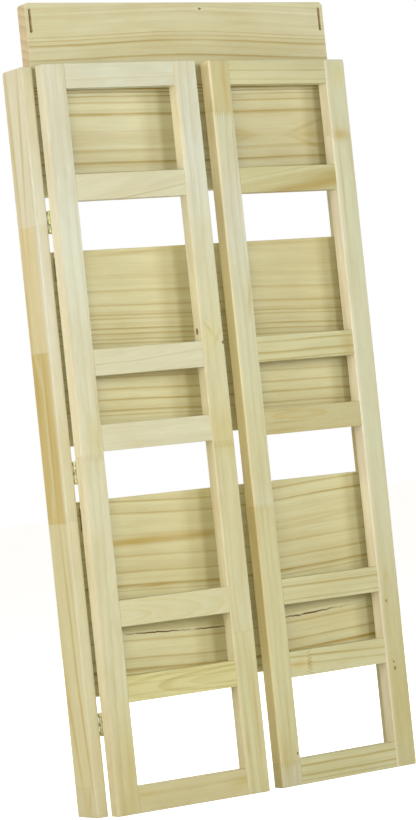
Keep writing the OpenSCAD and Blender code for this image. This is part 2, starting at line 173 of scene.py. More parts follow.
def make_pine_grain():
    """Growth rings round a pith line, fibres, soft streaks and blotches of a second tint."""
    group = bpy.data.node_groups.new("pine grain", "ShaderNodeTree")
    sockets = [
        ("Place", "NodeSocketVector"), ("Seed", "NodeSocketFloat"), ("Ring Width", "NodeSocketFloat"),
        ("Ring Strength", "NodeSocketFloat"), ("Line", "NodeSocketFloat"), ("Early", "NodeSocketColor"),
        ("Late", "NodeSocketColor"), ("End", "NodeSocketFloat"),
    ]
    for name, kind in sockets:
        group.interface.new_socket(name, in_out="INPUT", socket_type=kind)
    results = [
        ("Colour", "NodeSocketColor"), ("Roughness", "NodeSocketFloat"), ("Height", "NodeSocketFloat"),
    ]
    for name, kind in results:
        group.interface.new_socket(name, in_out="OUTPUT", socket_type=kind)
    n = Nodes(group)
    given = n.add("NodeGroupInput").outputs
    along, across, depth = n.add("ShaderNodeSeparateXYZ", {"Vector": given["Place"]}).outputs
    seed = given["Seed"]

    def stretched(length, width, shift):
        """The place squeezed so that one unit is length mm along the board and width mm across it."""
        moved = n.math("MULTIPLY_ADD", seed, SEED_SHIFT, shift)
        return n.vector(n.math("MULTIPLY_ADD", along, 1 / length, moved),
                        n.math("MULTIPLY_ADD", across, 1 / width, moved),
                        n.math("MULTIPLY_ADD", depth, 1 / width, n.math("MULTIPLY", moved, DEPTH_SHARE)))

    # Rings, of uneven width and strength, dark towards their outer edge
    radius = n.math("SQRT", n.math("MULTIPLY_ADD", across, across, n.math("MULTIPLY", depth, depth)))
    width = given["Ring Width"]
    wave = n.math("DIVIDE", radius, n.math("MULTIPLY", width, RINGS_TO_A_WAVE))
    uneven = n.noise(n.vector(wave, seed, 0.0), detail=1)
    ring = n.math("MULTIPLY_ADD", uneven, UNEVEN, n.math("DIVIDE", radius, width))
    inside = n.math("FRACT", ring)
    dark = n.ease(inside, DARK_STARTS, DARK_FULL)
    dark = n.math("MULTIPLY", dark, n.ease(inside, DARK_ENDS, 1.0, 1.0, 0.0))
    number = n.vector(n.math("FLOOR", ring), seed, 0.0)
    chance = n.add("ShaderNodeTexWhiteNoise", {"Vector": number}, noise_dimensions="3D").outputs["Value"]
    fade = n.noise(stretched(*FADING_RINGS), detail=1)
    least = n.math("MULTIPLY_ADD", fade, RING_FADING, RING_LEAST)
    strength = n.math("MULTIPLY_ADD", chance, RING_CHANCE, least, clamp=True)
    rings = n.math("MULTIPLY", n.math("MULTIPLY", dark, strength), given["Ring Strength"])

    # Fibres, streaks, blotches, and short dark resin ducts
    fibre = n.noise(stretched(*FIBRES), detail=3, rough=0.6)
    coarse = n.noise(stretched(*COARSE_FIBRES), detail=2)
    streak = n.noise(stretched(*STREAKS), detail=3, rough=0.6)
    broad = n.noise(stretched(*BROAD_BANDS), detail=2)
    blotch = n.ease(n.noise(stretched(*BLOTCHES), detail=3, rough=0.6), *BLOTCH_RANGE)
    duct = n.ease(n.noise(stretched(*DUCTS), detail=1), *DUCT_RANGE)

    late = n.math("ADD", rings, given["Line"])
    late = n.weigh(late, (streak, STREAK_TINT), (broad, BROAD_TINT), (duct, DUCT_TINT))
    late = n.math("MAXIMUM", late, 0.0, clamp=True)
    wood = n.blend(late, given["Early"], given["Late"])
    wood = n.blend(n.math("MULTIPLY", blotch, BLOTCH_TINT), wood, given["Late"])
    light = n.weigh(1.0, (fibre, FIBRE_LIGHT), (streak, STREAK_LIGHT), (coarse, COARSE_LIGHT))
    wood = n.blend(1.0, wood, n.vector(light, light, light), "MULTIPLY")

    # A sawn end drinks in more light, and shows its rings as arcs
    ends = n.blend(n.math("MULTIPLY", dark, END_RINGS), END_PALE, END_DARK)
    shade = n.math("MULTIPLY_ADD", n.noise(stretched(*SAW_MARKS), detail=2), END_UNEVEN, END_LEVEL)
    ends = n.blend(1.0, ends, n.vector(shade, shade, shade), "MULTIPLY")
    wood = n.blend(given["End"], wood, ends)

    rough = n.weigh(PINE_ROUGH, (fibre, FIBRE_ROUGH), (rings, RING_ROUGH), (given["End"], END_ROUGH))
    height = n.weigh(0.0, (fibre, FIBRE_HEIGHT), (late, LATE_HEIGHT), (streak, STREAK_HEIGHT),
                     (duct, DUCT_HEIGHT))
    out = n.add("NodeGroupOutput")
    for socket, value in zip(out.inputs, (wood, rough, height)):
        n.feed(socket, value)
    return group


PINE_GRAIN = make_pine_grain()

# How a board lies, and half its width in millimetres
ALONG_X, ALONG_Z, POST = "rail", "stile", "post"
HALF_WIDTH = {ALONG_X: 17.0, ALONG_Z: 16.5, POST: 24.0}

# Where the back's and each side frame's own x and y start, in metres, and how far a frame stands open
HINGE_PIN = Vector((0.2392, -0.0077722, 0))
LEFT_AJAR, RIGHT_AJAR = 3.2, 2.0
HOME_Y = -0.0064722
PLACES = {
    "back": ((0, HOME_Y, 0), 0),
    "left": ((-HINGE_PIN.x, HINGE_PIN.y, 0), -LEFT_AJAR),
    "right": ((HINGE_PIN.x, HINGE_PIN.y, 0), RIGHT_AJAR),
}

# Glue lines: half their width and their strength. Beyond one, the seed and the pith move on by so much.
GLUE_WIDTH, GLUE = 0.35, 0.32
NEXT_SEED, NEXT_PITH = 3.7, 5.0
# Towards a board's edge, between these distances from it, a glue line fades to a share of itself
FADE_INSIDE, FADE_OUTSIDE, SIDE_GLUE = 0.7, 0.2, 0.25
# The share of a thin line's half width that has its full strength
SOLID = 0.4
# A knot's length for its width, and how far and how hard it pushes the rings
KNOT_LENGTH, KNOT_REACH, KNOT_PUSH = 1.5, 0.12, 0.75
# Its dark core fades between these squares of the distance from its middle, counted in its radii
CORE_RANGE = (0.5, 1.5)
# How far a crack strays, in millimetres, and from which level to which a noise opens it
CRACK_STRAYS, CRACK_RANGE = 4.0, (-0.16, -0.02)
# How the grain drifts and ripples, cracks stray and open, and dark rings vary: waves to a millimetre
DRIFT_ALONG, DRIFT_ACROSS, RIPPLE_ALONG, RIPPLE_ACROSS = 0.0042, 0.006, 0.021, 0.03
STRAY_ALONG, OPEN_ALONG, VARY_ALONG, VARY_ACROSS = 0.07, 0.055, 0.011, 0.05
# How far from its middle an arch falls off, and how far to each side of its place a swell spreads
ARCH_LENGTH, SWELL_WIDTH = 190, 35
# How large ripples are, and how much deeper the drift goes, for a wave's size
RIPPLE_SIZE, DRIFT_DEPTH = 0.35, 2
# How much dark rings vary, and how deep knots and cracks lie
LINES_VARY, CORE_HEIGHT = 1.1, -0.6
# From which to which lean of its normal towards the grain a face becomes a sawn end
END_RANGE = (0.75, 0.95)
# How deep the wood's relief is, in metres, and how strongly the wood shines
PINE_BUMP, PINE_SHINE = {"Strength": 0.35, "Distance": 0.0004}, 0.12
# A dark ring rises to its edge and falls: places in its widths from the edge, and shares of its strength
LINE_SHAPE = ((-1.6, 0), (-0.35, 1), (0, 1), (0.45, 0))
LINES_TO_A_RAMP = 7


class Board:
    """One board's place in millimetres, bent step by step as its grain is."""

    def __init__(self, n, place, lie, middle, seed):
        self.n, self.lie = n, lie
        self.coordinates = n.add("ShaderNodeTexCoord").outputs
        origin, turn = PLACES[place]
        inputs = {"Vector": self.coordinates["Object"], "Location": origin,
                  "Rotation": (0, 0, math.radians(turn)), "Scale": (MM, MM, MM)}
        mapped = n.add("ShaderNodeMapping", inputs, vector_type="TEXTURE").outputs[0]
        x, y, z = n.add("ShaderNodeSeparateXYZ", {"Vector": mapped}).outputs
        self.along, across, depth = {ALONG_X: (x, z, y), ALONG_Z: (z, x, y), POST: (z, y, x)}[lie]
        self.across = n.math("SUBTRACT", across, middle[0])
        self.depth = n.math("SUBTRACT", depth, middle[1])
        self.seed, self.glue, self.core = seed, 0.0, 0.0

    def bell(self, value, centre, length):
        """1 at the centre, falling off to both sides over the length."""
        step = self.n.math("MULTIPLY_ADD", value, 1 / length, -centre / length)
        return self.n.math("EXPONENT", self.n.math("MULTIPLY", self.n.math("MULTIPLY", step, step), -1.0))

    def finger_joint(self, at, finger, pitch, glue=GLUE):
        """Zigzag glue line, faint on the board's sides. Returns 1 beyond it, where another piece is."""
        n = self.n
        saw = n.math("PINGPONG", self.across, pitch / 2)
        past = n.math("ADD", n.math("SUBTRACT", self.along, at),
                      n.math("MULTIPLY_ADD", saw, 2 * finger / pitch, -finger / 2))
        beyond = n.math("GREATER_THAN", past, 0.0)
        width = GLUE_WIDTH * math.hypot(2 * finger / pitch, 1)
        near = n.ease(n.math("ABSOLUTE", past), SOLID * width, width, glue, 0.0)
        half, out = HALF_WIDTH[self.lie], n.math("ABSOLUTE", self.across)
        on_face = n.ease(out, half - FADE_INSIDE, half - FADE_OUTSIDE, 1.0, SIDE_GLUE)
        self.glue = n.math("MAXIMUM", self.glue, n.math("MULTIPLY", near, on_face))
        self.seed = n.math("MULTIPLY_ADD", beyond, NEXT_SEED, self.seed)
        return beyond

    def knot(self, along, across, depth, radius, power):
        """A dark eye, longer along the grain, that pushes the rings aside."""
        n = self.n
        sizes = [(self.along, along, KNOT_LENGTH * radius), (self.across, across, radius),
                 (self.depth, depth, radius)]
        steps = [n.math("MULTIPLY_ADD", value, 1 / size, -centre / size) for value, centre, size in sizes]
        far = n.total(*[n.math("MULTIPLY", step, step) for step in steps])
        fading = n.math("EXPONENT", n.math("MULTIPLY", far, -KNOT_REACH))
        push = n.math("MULTIPLY", fading, KNOT_PUSH * radius)
        self.across = n.math("SUBTRACT", self.across, n.math("MULTIPLY", steps[1], push))
        self.core = n.math("MAXIMUM", self.core, n.ease(far, *CORE_RANGE, power, 0.0))

    def crack(self, across, along, length, width):
        """A thin dark crack that comes and goes along the grain."""
        n = self.n
        place = n.vector(n.math("MULTIPLY", self.along, STRAY_ALONG), 0.0, self.seed)
        stray = n.noise(place, detail=2)
        off = n.math("MULTIPLY_ADD", stray, CRACK_STRAYS, n.math("SUBTRACT", self.across, across))
        place = n.vector(n.math("MULTIPLY", self.along, OPEN_ALONG), 5.0, self.seed)
        open_here = n.noise(place, detail=2)
        near = self.bell(self.along, along, length)
        reach = n.math("MULTIPLY", n.ease(open_here, *CRACK_RANGE), near, clamp=True)
        thin = n.ease(n.math("ABSOLUTE", off), SOLID * width, width, 1.0, 0.0)
        self.core = n.math("MAXIMUM", self.core, n.math("MULTIPLY", thin, reach))

    def wander(self, wave, slant, arch, swells):
        """Bends the grain: small waves, a slope, an arch over the board's middle and local swells.

        A swell spreads the rings to both sides of a place: (along, across, length, spread).
        """
        n = self.n
        other_seed = n.math("MULTIPLY", self.seed, 1.7)
        drift = n.vector(n.math("MULTIPLY", self.along, DRIFT_ALONG),
                         n.math("MULTIPLY_ADD", self.across, DRIFT_ACROSS, self.seed),
                         n.math("MULTIPLY_ADD", self.depth, DRIFT_ACROSS, other_seed))
        inputs = {"Vector": drift, "Scale": 1.0, "Detail": 1.5}
        noise = n.add("ShaderNodeTexNoise", inputs, noise_dimensions="3D").outputs["Color"]
        aside, deep, _ = n.add("ShaderNodeSeparateXYZ", {"Vector": noise}).outputs
        ripples = n.vector(n.math("MULTIPLY", self.along, RIPPLE_ALONG),
                           n.math("MULTIPLY", self.across, RIPPLE_ACROSS), self.seed)
        ripple = n.noise(ripples, detail=2)
        self.across = n.total(self.across, n.math("MULTIPLY_ADD", aside, 2 * wave, -wave))
        self.across = n.weigh(self.across, (ripple, RIPPLE_SIZE * wave), (self.along, -slant))
        deeper = DRIFT_DEPTH * wave
        self.depth = n.math("ADD", self.depth, n.math("MULTIPLY_ADD", deep, 2 * deeper, -deeper))
        if arch:
            self.across = n.weigh(self.across, (self.bell(self.along, 0, ARCH_LENGTH), -arch))
        for along, across, length, amount in swells:
            spread = n.ease(self.across, across - SWELL_WIDTH, across + SWELL_WIDTH, -amount, amount)
            push = n.math("MULTIPLY", spread, self.bell(self.along, along, length))
            self.across = n.math("SUBTRACT", self.across, push)

    def dark_lines(self, lines):
        """Single dark rings, each sharp on its upper edge and fading below, with the glue lines."""
        n = self.n
        drawn = self.glue
        place = n.vector(n.math("MULTIPLY", self.along, VARY_ALONG),
                         n.math("MULTIPLY", self.across, VARY_ACROSS), self.seed)
        power_here = n.math("MULTIPLY_ADD", n.noise(place, detail=2), LINES_VARY, 1.0)
        for start in range(0, len(lines), LINES_TO_A_RAMP):
            group = sorted(lines)[start:start + LINES_TO_A_RAMP]
            low, high = group[0][0] - 3 * group[0][1], group[-1][0] + 3 * group[-1][1]
            stops = []
            for at, width, power in group:
                for share, level in LINE_SHAPE:
                    stops.append(((at + share * width - low) / (high - low), level * power))
            ramp = n.ramp(n.ease(self.across, low, high, way="LINEAR"), sorted(stops))
            drawn = n.math("MULTIPLY_ADD", ramp, power_here, drawn)
        return drawn

    def sawn_end(self):
        """1 on the faces that the grain runs out of."""
        facing = self.n.add("ShaderNodeSeparateXYZ", {"Vector": self.coordinates["Normal"]}).outputs
        towards = facing[0 if self.lie == ALONG_X else 2]
        return self.n.ease(self.n.math("ABSOLUTE", towards), *END_RANGE)


def pine(name, place, lie, middle, early, seed, late=DEEP, ring=7.0, strength=0.5, pith=(0, 30),
         taper=0.0, wave=6.0, slant=0.0, arch=0.0, swells=(), lines=(), knots=(), cracks=(), joints=(),
         patches=()):
    """One board's material.

    early and late are the tints of its early and late wood. middle is the board's centre line (across,
    depth). pith is the centre of its rings from there, and taper how fast they run out along the board.
    A line is one dark ring: (across, width, strength). A patch is another tint round a place: (along,
    across, length, width, tint, share) and, where it runs aslant, its slope. A joint is a glued finger
    joint: (along, finger length, pitch, tint beyond it) and, where it isn't the usual one, the strength
    of its glue line. Knots, cracks and swells are as in Board.
    """
    material, n = new_material(name)
    board = Board(n, place, lie, middle, seed)
    for along, finger, pitch, tint, *glue in joints:
        early = n.blend(board.finger_joint(along, finger, pitch, *glue), early, tint)
    for along, across, length, width, tint, share, *slope in patches:
        level = n.math("MULTIPLY_ADD", board.along, -slope[0], board.across) if slope else board.across
        across += -slope[0] * along if slope else 0
        near = board.bell(board.along, along, length)
        here = n.math("MULTIPLY", near, board.bell(level, across, width))
        early = n.blend(n.math("MULTIPLY", here, share), early, tint)
    for knot in knots:
        board.knot(*knot)
    board.wander(wave, slant, arch, swells)
    for crack in cracks:
        board.crack(*crack)

    depth = n.math("MULTIPLY_ADD", board.along, taper, board.depth)
    jump = n.math("MULTIPLY_ADD", n.math("SUBTRACT", board.seed, seed), NEXT_PITH, pith[0])
    rings = n.vector(board.along, n.math("SUBTRACT", board.across, jump),
                     n.math("SUBTRACT", depth, pith[1]))
    grain = n.add("ShaderNodeGroup", node_tree=PINE_GRAIN)
    given = {"Place": rings, "Seed": board.seed, "Ring Width": ring, "Ring Strength": strength,
             "Line": board.dark_lines(lines), "Early": early, "Late": late, "End": board.sawn_end()}
    for key, value in given.items():
        n.feed(grain.inputs[key], value)
    wood = n.blend(board.core, grain.outputs["Colour"], CRACK if cracks else KNOT)
    height = n.math("MULTIPLY_ADD", board.core, CORE_HEIGHT, grain.outputs["Height"])
    bump = n.add("ShaderNodeBump", {**PINE_BUMP, "Height": height})
    surface = {"Base Color": wood, "Roughness": grain.outputs["Roughness"],
               "Normal": bump.outputs["Normal"], "Specular IOR Level": PINE_SHINE}
    shader = n.add("ShaderNodeBsdfPrincipled", surface)
    n.add("ShaderNodeOutputMaterial", {"Surface": shader.outputs["BSDF"]})
    return material


# Tints of the wood, from pale sapwood to the darker boards
IVORY, MILK, CREAM = colour(217, 213, 187), colour(212, 216, 199), colour(209, 208, 178)
STRAW, BUTTER, GREY_STRAW = colour(206, 203, 166), colour(208, 203, 150), colour(207, 208, 176)
OLIVE_STRAW, HONEY, WHEAT = colour(205, 202, 160), colour(200, 192, 146), colour(196, 186, 130)
AMBER, TAN, OLIVE = colour(196, 174, 110), colour(188, 166, 100), colour(168, 150, 76)
DARK_AMBER, DARK_OLIVE = colour(178, 148, 80), colour(174, 154, 92)
# Sawn sides of the stiles are tinted paler and warmer than their planed fronts, on their left sides only:
# partly the wood's own tint, partly painted light that brightens sides lying in shade. The palest tint is
# painted light only.
PEACH, DEEP_PEACH, PAINTED_LIGHT_PEACH = colour(228, 216, 184), colour(248, 231, 180), colour(252, 240, 208)

# Centre lines in millimetres: of the stiles from their hinge, and of each kind of board from its front
NEAR_STILE, FAR_STILE, FRAME_MIDDLE = 15.7, 211.7, -12
POST_MIDDLE, POST_OUT = 24, 250.25
SHELF_MIDDLE, BACK_MIDDLE = 18.5, 38
SIDES, LEVELS = ("left", "right"), ("lower", "middle", "upper")


def height_middle(node):
    """The height of a node's middle, in millimetres."""
    low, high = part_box(node)
    return 0.5 * (low.z + high.z) / MM


def post(side_sign, **look):
    return dict(place="back", lie=POST, middle=(POST_MIDDLE, side_sign * POST_OUT), **look)


def stile(side, middle, **look):
    return dict(place=side, lie=ALONG_Z, middle=(middle, FRAME_MIDDLE), **look)


def rail(node, **look):
    return dict(place=node.split("_")[0], lie=ALONG_X, middle=(height_middle(node), FRAME_MIDDLE), **look)


BOARDS = {
    "left_post": post(
        -1, early=colour(206, 197, 160), late=TAN, seed=2, ring=24, strength=0.3, pith=(6, 34),
        taper=0.012, wave=5,
        joints=[
            (38, 3, 4, colour(208, 201, 160)), (378, 3, 4, colour(197, 180, 124)),
            (598, 3, 4, colour(214, 203, 162)), (760, 3, 4, IVORY)],
        patches=[
            (480, -26, 900, 8, colour(216, 213, 184), 1.0),
            (710, -26, 150, 8, colour(222, 223, 212), 0.9), (500, -3, 90, 3, DARK_AMBER, 0.6),
            (545, 17, 45, 5, DARK_AMBER, 0.45), (450, -13, 60, 4, DARK_AMBER, 0.3),
            (490, 3, 85, 3.6, STRAW, 0.75), (578, 9, 24, 3.6, STRAW, 0.75, 0.24),
            (398, 8, 26, 3.6, STRAW, 0.75, -0.14), (640, 20, 60, 4, TAN, 0.5),
            (860, 16, 130, 2.8, TAN, 0.6, 0.01), (865, -5, 110, 2.4, TAN, 0.6, -0.07),
            (810, -18, 60, 2.5, OLIVE, 0.25), (265, -6, 100, 2.2, OLIVE, 0.55, 0.033),
            (115, -13, 85, 2.4, TAN, 0.8, 0.077), (110, 13, 75, 3, TAN, 0.7, 0.12),
            (290, -17, 70, 1.6, OLIVE, 0.3, 0.03), (20, -9, 18, 2.5, TAN, 0.5, -0.25)]),
    "right_post": post(
        1, early=STRAW, late=TAN, seed=5, ring=20, strength=0.35, pith=(-10, -30), taper=-0.012, wave=7,
        lines=[(12, 1.6, 0.4), (-10, 1.4, 0.4)],
        joints=[(300, 9, 4, HONEY), (700, 9, 4, CREAM)]),
    "left_hinge_stile": stile(
        "left", NEAR_STILE, early=CREAM, seed=7, ring=12, strength=0.16, pith=(-50, 26), taper=0.03,
        joints=[(458, 9, 4, CREAM)],
        # The whole-width patches make this stile darker at the bottom and paler at the top: partly the
        # wood's own tone, partly painted light, brighter towards the top.
        patches=[
            (20, 0, 130, 60, HONEY, 0.95), (60, 9, 70, 6, WHEAT, 0.7), (250, 0, 120, 60, STRAW, 0.7),
            (485, 6, 30, 9, WHEAT, 0.5), (545, 12, 50, 3, TAN, 0.25, -0.05),
            # The last patch tints the left side: partly the wood's own tint, partly painted light.
            (800, 0, 200, 60, MILK, 0.9), (480, -19, 900, 5, PEACH, 0.7)]),
    "left_free_stile": stile(
        "left", FAR_STILE, early=OLIVE_STRAW, seed=11, ring=11, strength=0.16, pith=(60, 20),
        knots=[(592, 15, -9, 1.5, 0.9), (609, -16.5, 1, 3.0, 0.85)],
        # The whole-width patch at 860 mm makes the top paler: partly the wood's own tone, partly painted
        # light, brighter towards the top.
        patches=[
            (604, -3, 20, 9, BUTTER, 0.7, 0.3), (612, -5, 11, 2.6, AMBER, 0.6, -0.7),
            (597, 6, 14, 3, AMBER, 0.5, 0.6), (588, 0, 14, 4, BUTTER, 0.5),
            (888, 1.5, 26, 1.4, AMBER, 0.5), (110, 8, 80, 2, TAN, 0.5), (60, -9, 60, 2, TAN, 0.3),
            (860, 0, 140, 60, MILK, 1.0), (478, 0, 34, 40, WHEAT, 0.7),
            # These two patches brighten the left side, which faces the opening: partly the wood's own
            # tint, partly painted light.
            (480, -20, 900, 5, colour(236, 225, 194), 0.95), (880, -19, 60, 5, DEEP_PEACH, 0.5)],
        joints=[(212, 4, 5, STRAW, 0.2), (459, 9, 4, STRAW, 0.62)]),
    "left_bottom_rail": rail(
        "left_bottom_rail", early=colour(203, 196, 154), seed=13, ring=9, strength=0.2, pith=(40, 22),
        patches=[(42, 5, 22, 6, WHEAT, 0.6), (190, 2, 20, 8, WHEAT, 0.9)]),
    "left_lower_shelf_rail": rail(
        "left_lower_shelf_rail", early=BUTTER, seed=17, ring=5.5, strength=0.4, pith=(-1, 12),
        taper=0.09, wave=4, late=OLIVE,
        lines=[(13, 1.4, 0.3), (6, 1.2, 0.3), (-8, 1.2, 0.25)]),
    "left_lower_middle_rail": rail(
        "left_lower_middle_rail", early=STRAW, seed=19, ring=5.3, strength=0.4, pith=(-4, -7),
        taper=0.151, wave=3, late=colour(194, 182, 116)),
    "left_middle_shelf_rail": rail(
        "left_middle_shelf_rail", early=CREAM, seed=23, ring=14, strength=0.05, pith=(-60, 30)),
    "left_upper_middle_rail": rail(
        "left_upper_middle_rail", early=CREAM, seed=29, ring=14, strength=0.06, pith=(-60, 30),
        slant=0.05,
        lines=[(-4, 1.4, 0.25)]),
    "left_upper_shelf_rail": rail(
        "left_upper_shelf_rail", early=CREAM, seed=31, ring=14, strength=0.08, pith=(-40, 10),
        slant=0.16,
        lines=[(-32, 1.6, 0.3)]),
    "left_top_rail": rail(
        "left_top_rail", early=colour(211, 213, 190), seed=37, ring=9, strength=0.06, pith=(50, 10),
        lines=[(-4, 0.9, 0.2)]),
    "right_free_stile": stile(
        "right", -FAR_STILE, early=colour(202, 201, 170), seed=41, ring=10, strength=0.18, pith=(46, 20),
        knots=[(42, 13, -9, 1.2, 0.9)],
        # The whole-width patches at 460 and 755 mm make the middle darker and the upper part paler:
        # partly the wood's own tone, partly painted light, brighter towards the top.
        patches=[
            (650, 12, 26, 3, AMBER, 0.7, 0.15), (930, 6, 40, 3, AMBER, 0.5), (430, -4, 60, 2, TAN, 0.3),
            (60, 2, 70, 2, TAN, 0.4, 0.05), (40, -8, 28, 4, TAN, 0.5),
            (460, 0, 90, 60, OLIVE_STRAW, 0.7), (755, 0, 75, 60, colour(214, 216, 198), 0.8),
            # The pale peach patches brighten the left side, in the gap between the frames: partly the
            # wood's own tint, partly painted light. The palest two, at 830 and 935 mm, are painted light
            # only; the amber ones are the wood's.
            (480, -20, 900, 5, DEEP_PEACH, 1.0), (330, -20, 90, 5, AMBER, 0.4),
            (770, -20, 30, 5, AMBER, 0.25), (830, -19, 40, 5, PAINTED_LIGHT_PEACH, 0.7),
            (935, -19, 46, 5, PAINTED_LIGHT_PEACH, 1.0)],
        joints=[(30, 8, 4, OLIVE_STRAW, 0.4), (370, 9, 4, GREY_STRAW), (895, 8, 4, HONEY)]),
    "right_hinge_stile": stile(
        "right", -NEAR_STILE, early=GREY_STRAW, seed=43, ring=12, strength=0.18, pith=(-14, 24),
        knots=[(225, -6, -9, 1.6, 0.6), (142, -4, -9, 1.4, 0.6), (133, -3, -9, 1.8, 0.7)],
        # The whole-width patch at 90 mm makes the bottom darker: partly the wood's own tone, partly
        # painted light, darker towards the bottom.
        patches=[
            (862, -2, 8, 14, AMBER, 0.8), (790, -6, 70, 2, TAN, 0.5), (945, 4, 16, 8, BUTTER, 0.8),
            (185, -5, 60, 1.8, TAN, 0.4), (262, -2, 12, 4, AMBER, 0.4),
            # The last patch, nearly white, brightens the left side facing the opening: partly the wood's
            # own tint, partly painted light.
            (90, 0, 190, 60, colour(195, 188, 139), 1.0), (480, -19, 900, 5, colour(250, 240, 218), 1.0)],
        joints=[(862, 9, 6, GREY_STRAW)]),
    "right_bottom_rail": rail(
        "right_bottom_rail", early=OLIVE_STRAW, seed=47, ring=9, strength=0.15, pith=(-60, 10), wave=3,
        late=OLIVE,
        lines=[(8, 1.8, 0.6), (-5, 2, 0.6), (-12, 1.2, 0.45)]),
    "right_lower_shelf_rail": rail(
        "right_lower_shelf_rail", early=OLIVE_STRAW, seed=53, ring=9, strength=0.15, wave=3,
        pith=(-50, 16), slant=-0.04, late=OLIVE,
        joints=[(-163, 8, 5, OLIVE_STRAW, 0.9)],
        lines=[(3, 1.8, 0.5), (-7, 1.4, 0.4)],
        patches=[(-182, -1, 14, 5, AMBER, 0.7), (-163, -1, 3, 7, TAN, 0.8)]),
    "right_lower_middle_rail": rail(
        "right_lower_middle_rail", early=OLIVE_STRAW, seed=59, ring=11, strength=0.15, wave=3,
        pith=(-52, 10), late=OLIVE,
        lines=[(7, 2.2, 0.6), (-11, 1.4, 0.5)]),
    "right_middle_shelf_rail": rail(
        "right_middle_shelf_rail", early=colour(192, 185, 140), seed=61, ring=8, strength=0.5, wave=3,
        pith=(6, -22), taper=0.1, late=TAN,
        patches=[
            (-165, 14, 34, 1.6, OLIVE, 0.5), (-165, -2, 34, 1.6, OLIVE, 0.5),
            (-165, -12, 34, 2, OLIVE, 0.5)]),
    "right_upper_middle_rail": rail(
        "right_upper_middle_rail", early=OLIVE_STRAW, seed=67, ring=9, strength=0.1, wave=3,
        pith=(-64, 10), late=OLIVE,
        lines=[(10, 2, 0.55), (-4, 2.4, 0.6), (-14, 1.6, 0.6)],
        patches=[(-42, 0, 12, 30, OLIVE, 0.4)]),
    "right_upper_shelf_rail": rail(
        "right_upper_shelf_rail", early=colour(202, 199, 156), seed=71, ring=30, strength=0.3, wave=3,
        pith=(-75, 6), slant=0.125, late=OLIVE,
        lines=[(-30, 1.4, 0.4), (26, 1.0, 0.4)],
        patches=[
            (-50, -7, 70, 9, DARK_OLIVE, 0.85, 0.13),
            (-120, -15, 50, 5, DARK_OLIVE, 0.8, 0.1),
            (-30, 4, 26, 6, DARK_OLIVE, 0.5, 0.05)]),
    "right_top_rail": rail(
        "right_top_rail", early=OLIVE_STRAW, seed=73, ring=12, strength=0.1, pith=(-42, 20), wave=5,
        late=OLIVE,
        lines=[(3, 1.6, 0.5), (-9, 1.2, 0.3)]),
}
SHELF_LOOKS = {
    "upper_shelf": dict(
        early=colour(214, 211, 176), seed=79, ring=13, strength=0.2, pith=(-55, 44), wave=3, arch=4.5,
        swells=[(0, 26, 150, 4)],
        knots=[(34, 117, -9.5, 1.6, 0.8)],
        patches=[
            (200, -56, 30, 10, AMBER, 0.6), (190, -44, 34, 3, TAN, 0.7, 0.32),
            (190, -67, 34, 3, TAN, 0.7, -0.34), (195, -56, 22, 2.5, TAN, 0.6),
            (78, -54, 24, 6, AMBER, 0.7), (84, -49, 18, 2, TAN, 0.5, -0.25),
            (84, -59, 18, 2, TAN, 0.5, 0.25), (-180, -60, 40, 30, HONEY, 0.3),
            (150, -55, 120, 60, HONEY, 0.55), (40, 70, 260, 50, HONEY, 0.45)],
        lines=[
            (112, 1, 0.2), (79, 1.2, 0.35), (74, 1, 0.3), (68, 2.2, 0.5), (49, 1.8, 0.5),
            (14, 1.4, 0.8), (10, 1.4, 0.8), (6, 1.2, 0.7), (1, 1.1, 0.6), (-7, 1.6, 0.45),
            (-22, 3, 0.5), (-69, 4, 0.35), (-85, 2.2, 0.6), (-98, 1.6, 0.5)]),
    "middle_shelf": dict(
        early=colour(212, 207, 165), seed=83, ring=13, strength=0.16, pith=(-190, 40), wave=3,
        slant=-0.03,
        patches=[
            (-100, 120, 90, 2.5, TAN, 0.4, 0.05), (140, 121, 80, 2.5, TAN, 0.4),
            (150, 0, 120, 150, HONEY, 0.4)],
        lines=[
            (68, 2.6, 0.26), (48, 1.4, 0.4), (35, 1.4, 0.34), (30, 1.4, 0.36), (17, 2, 0.5),
            (10, 1.2, 0.36), (3, 1.6, 0.44), (-2, 1.3, 0.4), (-46, 1.4, 0.4), (-61, 2, 0.45),
            (-75, 1.8, 0.5), (-89, 2, 0.5), (-95, 1.2, 0.4)]),
    "lower_shelf": dict(
        early=colour(213, 209, 166), seed=89, ring=13, strength=0.2, pith=(160, 30), wave=3, arch=-11,
        cracks=[(-47, -134, 50, 1.3), (-47, -52, 34, 1.2), (-48, 108, 52, 1.6)],
        patches=[
            (-150, 67, 74, 6, TAN, 1.0), (-55, 66, 44, 4, TAN, 0.9), (-128, 7, 26, 1.6, AMBER, 0.9),
            (160, 70, 70, 2, TAN, 0.5, 0.1), (150, 40, 120, 70, HONEY, 0.5)],
        lines=[
            (126, 2, 0.5), (110, 2, 0.55), (54, 2, 0.2), (33, 1.8, 0.45), (16, 2.4, 0.65),
            (9, 1.4, 0.4), (-1, 1.2, 0.4), (-55, 1.2, 0.35), (-78, 1.8, 0.45), (-92, 3, 0.65),
            (-104, 1.6, 0.5)]),
}
for shelf, look in SHELF_LOOKS.items():
    BOARDS[shelf] = dict(place="back", lie=ALONG_X, middle=(height_middle(shelf), SHELF_MIDDLE), **look)
for number, level in enumerate(LEVELS):
    back_rail = level + "_back_rail"
    BOARDS[back_rail] = dict(
        place="back", lie=ALONG_X, middle=(height_middle(back_rail), BACK_MIDDLE), early=STRAW,
        seed=97 + number, ring=9, strength=0.3, pith=(-20 + 14 * number, -30), taper=0.02)

# Boards and sheet metal have slightly eased edges. Lengths in metres, angles in degrees.
EASED_EDGE, METAL_EDGE = 0.0007, 0.00015
WELD_REACH = 0.00001
FLAT_ANGLE, SHARP_ANGLE = 1, 40


